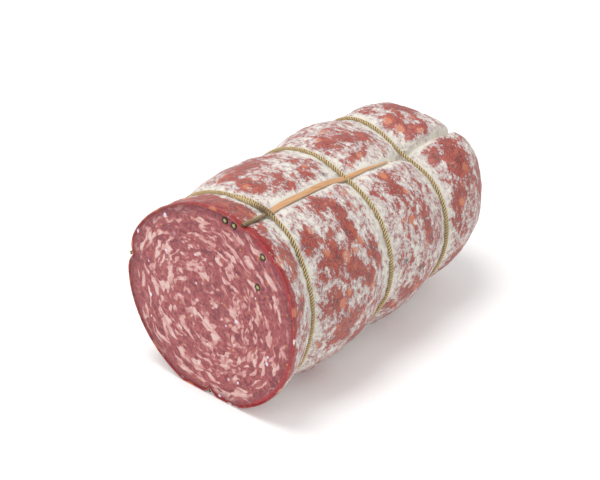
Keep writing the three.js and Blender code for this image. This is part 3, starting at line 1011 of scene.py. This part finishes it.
@dataclass
class Filling:
    """The meat: a cut face with a soft rim and small relief, and sides that the skin covers."""

    body: Body
    finish: FillingFinish
    columns: int = 540
    rings: int = 170
    inset: float = 1.3
    side_inset: float = 2.1
    rim_round: float = 0.8
    rim_reach: float = 4.0
    relief: float = 0.35
    socket: float = 2.55
    socket_gap: float = 0.4

    def outline(self, angles: Array) -> Array:
        """The cut face's edge, as places in the plane of the cut."""
        edge = self.body.skin(np.zeros(self.columns), angles)
        radius = np.hypot(edge[:, 0], edge[:, 2])
        return edge * ((radius - self.inset) / radius)[:, None]

    def face(self, angles: Array, corns: Sequence[Array]) -> tuple[Array, Array]:
        """The cut face, ring by ring from its edge to its middle.

        Args:
            angles: the columns' angles.
            corns: the middles of the peppercorns in it.

        Returns:
            The places, and their distances from the edge.
        """
        edge = self.outline(angles)
        shares = np.linspace(1, 0, self.rings + 1)[:-1] ** 0.9
        points = edge[None] * shares[:, None, None]
        reach = np.linalg.norm(edge, axis=1)[None] * (1 - shares)[:, None]
        back = self.rim_round * np.clip(1 - reach / self.rim_reach, 0, 1) ** 2
        back = back + np.clip(0.5 + clouds(points, 5.0, 21.0, 3) * 0.9, 0, 1) * self.relief
        for corn in corns:
            away = np.linalg.norm(points - corn, axis=-1)
            deep = np.sqrt(np.maximum(self.socket ** 2 - away ** 2, 0)) + self.socket_gap
            back = np.where(away < self.socket, deep, back)
        points = points + back[..., None] * [0, 1, 0]
        return points, reach

    def build(self, corns: Sequence[Array]) -> Piece:
        """Makes the meat as one closed piece.

        Args:
            corns: the middles of the peppercorns in its face.

        Returns:
            The piece.
        """
        angles = np.arange(self.columns) * 360 / self.columns + self.body.drift(0)
        face, reach = self.face(angles, corns)
        face, reach = face[::-1], reach[::-1]
        stations = np.array([2.0, 5.0, *np.arange(8.0, 254.0, 2.5), 256.0, 258.5, 260.5])
        along, angle = np.meshgrid(stations, angles, indexing="ij")
        turned = angle + self.body.drift(along) - self.body.drift(0)
        sides = self.body.skin(along, turned, -self.side_inset)
        pole = self.body.skin([self.body.length], 0.0, -self.side_inset)
        middle = [[0, self.relief / 2, 0]]
        points = np.concatenate([middle, face.reshape(-1, 3), sides.reshape(-1, 3), pole])
        rim = np.concatenate([[reach[0].mean()], reach.ravel(), np.zeros(along.size + 1)])
        rows = len(face) + len(sides)
        faces = fan(1, self.columns, 0, outward=False)
        faces += rows_of_faces(rows, self.columns, 1)
        faces += fan(1 + (rows - 1) * self.columns, self.columns, len(points) - 1)
        return mesh_piece("filling_meat", self.body.placed(points), faces, ["filling"],
                          self.finish.material(), {"rim": rim})


@dataclass
class Peppercorn:
    """A peppercorn cut through: a ball with a raised husk ring round a hollowed core."""

    node: str
    material: Material
    columns: int = 40
    wrinkle: float = 0.10
    core_depth: float = 0.55

    def __post_init__(self) -> None:
        """Reads its place and size from the frame."""
        low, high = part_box(self.node)
        self.middle = Vector(((low.x + high.x) / 2, low.y, (low.z + high.z) / 2)) / MM
        self.radius = (high.x - low.x) / (2 * MM)
        self.depth = (high.y - low.y) / MM

    def place(self, body: Body) -> Array:
        """Its middle, in millimetres from the middle of the cut face."""
        return np.array(self.middle) - [body.axis_x, body.cut_y, body.axis_z]

    def profile(self) -> list[tuple[float, float, float]]:
        """Its outline from the core's middle to its back: radius, depth, and 1 in the core."""
        radius, sunk = self.radius, self.depth - self.radius
        front = math.sqrt(radius ** 2 - sunk ** 2)
        cut = [(0.24, 0.5, 1), (0.42, 0.3, 1), (0.54, 0.26, 1), (0.62, 0.42, 0.6), (0.67, 0.42, 0),
               (0.74, 0.1, 0), (0.9, 0.03, 0), (1.0, 0.16, 0)]
        outline = [(front * share, back, core) for share, back, core in cut]
        first = math.asin(-sunk / radius)
        for step in range(1, 9):
            tilt = first + (math.pi / 2 - first) * step / 9
            outline.append((radius * math.cos(tilt), sunk + radius * math.sin(tilt), 0))
        return outline

    def build(self) -> Piece:
        """Makes the peppercorn."""
        outline = self.profile()
        out = radial(np.arange(self.columns) * 360 / self.columns)
        rings = np.array([out * radius + [0, back, 0] for radius, back, _ in outline])
        wrinkle = 1 - np.abs(clouds(rings + np.array(self.middle), 1.1, 2.0, 2)) * self.wrinkle
        rings = rings * np.stack([wrinkle, np.ones_like(wrinkle), wrinkle], -1)
        tips = [[0, self.core_depth, 0], [0, self.depth, 0]]
        points = np.concatenate([rings.reshape(-1, 3), tips]) + np.array(self.middle)
        core = np.concatenate([np.repeat([core for _, _, core in outline], self.columns), [1, 0]])
        count = len(outline) * self.columns
        faces = rows_of_faces(len(outline), self.columns) + fan(0, self.columns, count, outward=False)
        faces += fan(count - self.columns, self.columns, count + 1)
        return mesh_piece(f"{self.node}_cut", points * MM, faces, [self.node],
                          self.material, {"core": core})


# ---- twine and reed -----------------------------------------------------------------------------
class Slot(Enum):
    """The record's slots for twine."""

    PLAIN = "twine"
    STAINED = "stained_twine"


@dataclass
class Twine:
    """Twine of three plies twisted together, laid along a line."""

    body: Body
    material: Material
    radius: float = 1.4
    ply_at: float = 0.54
    ply_radius: float = 0.5
    plies: int = 3
    twist: float = 6.6
    sides: int = 8
    step: float = 0.55

    def ply(self, line: Array, out: Array, first_turn: float, closed: bool) -> tuple[Array, Array]:
        """One ply of the twine.

        Args:
            line: the twine's centre line, in even steps.
            out: which way is up from what it lies on, at each step.
            first_turn: where round the twine the ply starts, in turns.
            closed: whether the line joins up.

        Returns:
            The ply's corners, ring by ring, and each one's distance, angle and ply.
        """
        def along(points: Array) -> Array:
            """Directions along a line."""
            if closed:
                run = np.roll(points, -1, 0) - np.roll(points, 1, 0)
            else:
                run = np.gradient(points, axis=0)
            return run / np.linalg.norm(run, axis=1, keepdims=True)

        count = len(line)
        onward = along(line)
        up = out - onward * np.sum(out * onward, 1, keepdims=True)
        up = up / np.linalg.norm(up, axis=1, keepdims=True)
        beside = np.cross(onward, up)
        size = np.linalg.norm(line[1] - line[0])
        turns = count * size / self.twist
        turns = round(turns) if closed else turns
        angle = 2 * math.pi * (np.arange(count) / count * turns + first_turn)
        outward = up * np.cos(angle)[:, None] + beside * np.sin(angle)[:, None]
        centre = line + outward * self.radius * self.ply_at
        run = along(centre)
        outward = outward - run * np.sum(outward * run, 1, keepdims=True)
        outward = outward / np.linalg.norm(outward, axis=1, keepdims=True)
        across = np.cross(run, outward)
        round_ = np.arange(self.sides) * 2 * math.pi / self.sides
        ring = outward[:, None] * np.cos(round_)[:, None] + across[:, None] * np.sin(round_)[:, None]
        points = centre[:, None] + ring * self.radius * self.ply_radius
        distance = np.repeat(np.arange(count) * size, self.sides)
        apart = np.full(count * self.sides, first_turn * 30)
        fibre = np.stack([distance, np.tile(round_, count), apart], -1)
        return points.reshape(-1, 3), fibre

    def lay(self, name: str, line: Array, out: Array, replaced: Sequence[str], slot: Slot = Slot.PLAIN,
            closed: bool = False, stain: Array | None = None) -> Piece:
        """Makes a piece of twine.

        Args:
            name: the piece's name.
            line: its centre line, in millimetres from the middle of the cut face.
            out: which way is up from what it lies on, at each place.
            replaced: the frame's nodes that it stands for.
            slot: not used.
            closed: whether it joins up.
            stain: how stained it is at each place, from 0 to 1.

        Returns:
            The piece.
        """
        stain = np.zeros(len(line)) if stain is None else stain
        rows = evenly(np.hstack([line, out, stain[:, None]]), self.step, closed)
        even, out, stain = rows[:, :3], rows[:, 3:6], rows[:, 6]
        points, fibres, faces = [], [], []
        for ply in range(self.plies):
            start = ply * len(even) * self.sides
            corners, fibre = self.ply(even, out, ply / self.plies, closed)
            points.append(corners)
            fibres.append(fibre)
            last = start + (len(even) - 1) * self.sides
            faces += rows_of_faces(len(even), self.sides, start)
            if closed:
                for side in range(self.sides):
                    after = (side + 1) % self.sides
                    faces.append([last + side, start + side, start + after, last + after])
            else:
                faces += end_caps(start, last, self.sides)
        fibre = np.concatenate(fibres)
        # crest: how far each corner faces out from its ply, read by the finish for the painted shade
        # between the plies
        values = {"fibre": fibre, "crest": np.cos(fibre[:, 1]),
                  "stain": np.tile(np.repeat(stain, self.sides), self.plies)}
        return mesh_piece(name, self.body.placed(np.concatenate(points)), faces, replaced,
                          self.material, values)


@dataclass
class Binding:
    """Every piece of twine on the sausage, with its knots."""

    body: Body
    twine: Twine
    lift: float = 1.15
    stain_angle: float = 70.0
    stain_spread: float = 6.0
    stub_stain: float = 0.6
    from_cut: float = 0.9
    side_from_cut: float = 0.5
    knot_angle: float = 186.0
    knot_size: float = 1.25
    knot_steps: int = 120
    knot_off: float = 1.3
    knot_flatness: float = 0.8
    lap: tuple[float, float] = (64.0, 90.0)
    lap_steps: int = 60
    lap_lift: float = 0.7
    lap_aside: float = 1.5
    spine_start: float = 157.0
    sunk: float = 3.0
    stations: int = 240

    def groove_line(self, groove: Groove, start: float, finish: float, sunk: float = 0.0
                    ) -> tuple[Array, Array]:
        """A cord's centre line in a groove.

        Args:
            groove: the groove.
            start: where it starts, in millimetres along.
            finish: where it ends.
            sunk: how far the lobes beside it close over it, short of the far end.

        Returns:
            The line, and which way is up from the skin.
        """
        share = np.linspace(0, 1, self.stations)
        bend = np.sin(share * math.pi / 2) if finish > self.body.length - 20 else share
        along = start + (finish - start) * bend
        angle = groove.angle + self.body.drift(along)
        out = self.body.outward(along, angle)
        line = self.body.skin(along, angle, self.lift)
        return line - out * sunk * np.clip((self.body.length - 8 - along) / 10, 0, 1)[:, None], out

    def hoops(self) -> None:
        """Makes the three hoops, the front one stained where the short end meets it."""
        angle = np.arange(720) * 0.5
        stain = bell(turn(self.stain_angle, angle), self.stain_spread)
        for hoop in self.body.hoops:
            line = filtered(self.body.hoop_line(hoop, angle), 4, closed=True)
            self.twine.lay(f"{hoop.node}_twine", line, radial(angle), [hoop.node], closed=True,
                           stain=stain if hoop is self.body.hoops[0] else None)
            self.knot(f"{hoop.node}_knot", hoop)

    def knot(self, name: str, hoop: Hoop) -> None:
        """Makes the small knot that closes a hoop.

        Args:
            name: the piece's name.
            hoop: the hoop.
        """
        angle = self.knot_angle + self.body.drift(hoop.along)
        middle, out = self.body.hoop_line(hoop, angle), radial(angle)
        along, across = np.array([0.0, 1.0, 0.0]), np.cross(out, [0.0, 1.0, 0.0])
        turns = np.linspace(0, 2 * math.pi, self.knot_steps, endpoint=False)
        shape = np.stack([np.sin(turns) + 2 * np.sin(2 * turns), np.cos(turns) - 2 * np.cos(2 * turns),
                          -np.sin(3 * turns)], -1) * self.knot_size
        axes = np.stack([along, across, out * self.knot_flatness])
        line = middle + out * self.knot_off + shape @ axes
        self.twine.lay(name, line, out + shape * 0.05, [], closed=True)

    def spine(self) -> None:
        """Makes the cord over the far end and back along the bottom."""
        over, over_out = self.groove_line(self.body.top, self.spine_start, self.body.length, self.sunk)
        under, under_out = self.groove_line(self.body.bottom, self.from_cut, self.body.length)
        line = np.vstack([over, under[::-1][1:]])
        out = np.vstack([over_out, under_out[::-1][1:]])
        self.twine.lay("spine_cord_twine", filtered(line, 6), filtered(out, 30), ["spine_cord"])

    def side(self) -> None:
        """Makes the cord in the side groove."""
        line, out = self.groove_line(self.body.side, self.side_from_cut, self.body.length)
        line, out = filtered(line[:-6], 6), filtered(out[:-6], 20)
        self.twine.lay("side_cord_twine", line, out, ["side_cord"])

    def stub(self) -> None:
        """Makes the short stained end, and the lap of it that runs on beside the front hoop."""
        hoop = self.body.hoops[0]
        line, out = self.groove_line(self.body.top, self.from_cut, hoop.along - 1.0)
        self.twine.lay("cord_stub_twine", filtered(line, 4), out, ["cord_stub"], Slot.STAINED,
                       stain=np.full(len(line), self.stub_stain))
        angle = np.linspace(*self.lap, self.lap_steps)
        out = radial(angle)
        line = self.body.hoop_line(hoop, angle) + out * self.lap_lift
        line[:, 1] += self.lap_aside * np.sin(np.linspace(0.15, 1, self.lap_steps) * math.pi)
        stain = 0.7 * bell(turn(68, angle), 7)
        self.twine.lay("cord_stub_lap", line, out, [], Slot.STAINED, stain=stain)

    def build(self) -> None:
        """Makes every piece."""
        self.hoops()
        self.spine()
        self.side()
        self.stub()


@dataclass
class Strip:
    """The flat reed in the top groove, square in front and drawn to a tail behind."""

    body: Body
    finish: StripFinish
    width: float = 4.5
    thickness: float = 0.8
    start: float = 32.2
    finish_at: float = 154.0
    narrowing: float = 0.7
    widths: tuple[tuple[float, float], ...] = (
        (32, 0.96), (50, 1.04), (66, 0.95), (82, 1.03), (96, 0.97), (120, 1.05), (154, 1),
    )
    bow: float = 0.25
    lift: float = 1.0
    sink: float = 0.3
    easing: int = 420
    last_easing: int = 60
    out_easing: int = 900

    def build(self) -> Piece:
        """Makes the reed."""
        along = np.linspace(self.start, self.finish_at, 260)
        angle = self.body.top.angle + self.body.drift(along)
        laid = self.body.skin(along, angle, self.lift)
        out = filtered(self.body.outward(along, angle), self.out_easing)
        centre = filtered(laid, self.easing)
        sunk = np.sum((laid - centre) * out, 1, keepdims=True)
        centre = filtered(centre + out * np.maximum(sunk - self.sink, 0), self.last_easing)
        run = np.gradient(centre, axis=0)
        across = np.cross(run, out)
        across = across / np.linalg.norm(across, axis=1, keepdims=True)
        half = (self.start + self.finish_at) / 2
        share = np.clip((along - half) / (self.finish_at - half), 0, 1)
        narrow = 1 - self.narrowing * share * share * (3 - 2 * share)
        wander = np.interp(along, *zip(*self.widths))
        turns = np.linspace(0, 2 * math.pi, 20, endpoint=False)
        side = np.sign(np.cos(turns)) * np.abs(np.cos(turns)) ** 0.5
        up = np.sign(np.sin(turns)) * np.abs(np.sin(turns)) ** 0.7
        sideways = side * (self.width / 2 * narrow * wander)[:, None]
        upwards = up * self.thickness / 2 + self.bow * (1 - side ** 2)
        points = centre[:, None] + across[:, None] * sideways[..., None]
        points = points + out[:, None] * upwards[:, None]
        grain = np.stack(np.broadcast_arrays(along[:, None], sideways, up), -1)
        rows, count = sideways.shape
        faces = rows_of_faces(rows, count) + end_caps(0, (rows - 1) * count, count)
        return mesh_piece("top_strip_reed", self.body.placed(points.reshape(-1, 3)), faces,
                          ["top_strip"], self.finish.material(), {"grain": grain.reshape(-1, 3)})


# ---- studio -------------------------------------------------------------------------------------
@dataclass
class Studio:
    """A pale floor, soft light and the camera."""

    camera_at: Colour = (0.6234, -0.7533, 0.6311)
    aim: Colour = (-0.0018, -0.0344, 0.0810)
    lens: float = 94.07
    sensor: float = 36.0
    floor_size: float = 8.0
    glow: float = 0.1
    surround: float = 0.73
    lamp_size: float = 0.9

    def floor(self) -> None:
        """Makes the floor."""
        half = self.floor_size / 2
        mesh = bpy.data.meshes.new("floor")
        mesh.from_pydata([(-half, -half, 0), (half, -half, 0), (half, half, 0), (-half, half, 0)], [],
                         [(0, 1, 2, 3)])
        graph = Graph("floor_paper")
        tone = graph.noise(graph.place(), 400, 1)
        colour = graph.coats(linear(248, 248, 248), (tone, linear(252, 252, 252)))
        mesh.materials.append(graph.surface({
            "Base Color": colour, "Roughness": 0.9,
            "Emission Color": (1, 1, 1, 1), "Emission Strength": self.glow,
        }))
        floor = bpy.data.objects.new("floor", mesh)
        bpy.context.scene.collection.objects.link(floor)

    def aimed(self, data: bpy.types.ID, place: Colour) -> Piece:
        """Sets up a lamp or a camera at a place in metres, pointing at the sausage."""
        thing = bpy.data.objects.new(data.name, data)
        thing.location = place
        thing.rotation_euler = (Vector(self.aim) - Vector(place)).to_track_quat("-Z", "Y").to_euler()
        bpy.context.scene.collection.objects.link(thing)
        return thing

    def light(self, name: str, place: Colour, power: float) -> None:
        """Adds a soft round light, with its place in metres and its power in watts."""
        data = bpy.data.lights.new(name, "AREA")
        data.energy, data.size, data.shape = power, self.lamp_size, "DISK"
        self.aimed(data, place)

    def world(self) -> None:
        """Lights everything evenly from all round."""
        world = bpy.data.worlds.new("studio")
        bpy.context.scene.world = world
        world.use_nodes = True
        background = world.node_tree.nodes["Background"]
        background.inputs["Color"].default_value = (1, 1, 1, 1)
        background.inputs["Strength"].default_value = self.surround

    def camera(self) -> None:
        """Sets the camera."""
        data = bpy.data.cameras.new("camera")
        data.lens, data.sensor_width = self.lens, self.sensor
        bpy.context.scene.camera = self.aimed(data, self.camera_at)

    def build(self) -> None:
        """Sets everything round the sausage."""
        self.floor()
        self.light("key", (-0.12, -0.3, 1.75), 15)
        self.light("front", (-0.3, -1.6, 0.9), 4.5)
        self.world()
        self.camera()
        scene = bpy.context.scene
        scene.view_settings.view_transform = "Standard"
        scene.view_settings.look = "None"
        LOG.info("studio: floor, two lights, camera")


def main() -> None:
    """Builds the sausage and its studio, piece by piece."""
    Studio().build()
    body = Body()
    corn_material = PeppercornFinish().material()
    corns = [Peppercorn(f"peppercorn_{number}", corn_material) for number in range(1, 5)]
    Casing(body, CasingFinish()).build()
    Filling(body, FillingFinish(body.axis_x, body.axis_z)).build([corn.place(body) for corn in corns])
    for corn in corns:
        corn.build()
    Binding(body, Twine(body, TwineFinish().material())).build()
    Strip(body, StripFinish()).build()


if __name__ == "__main__":
    main()
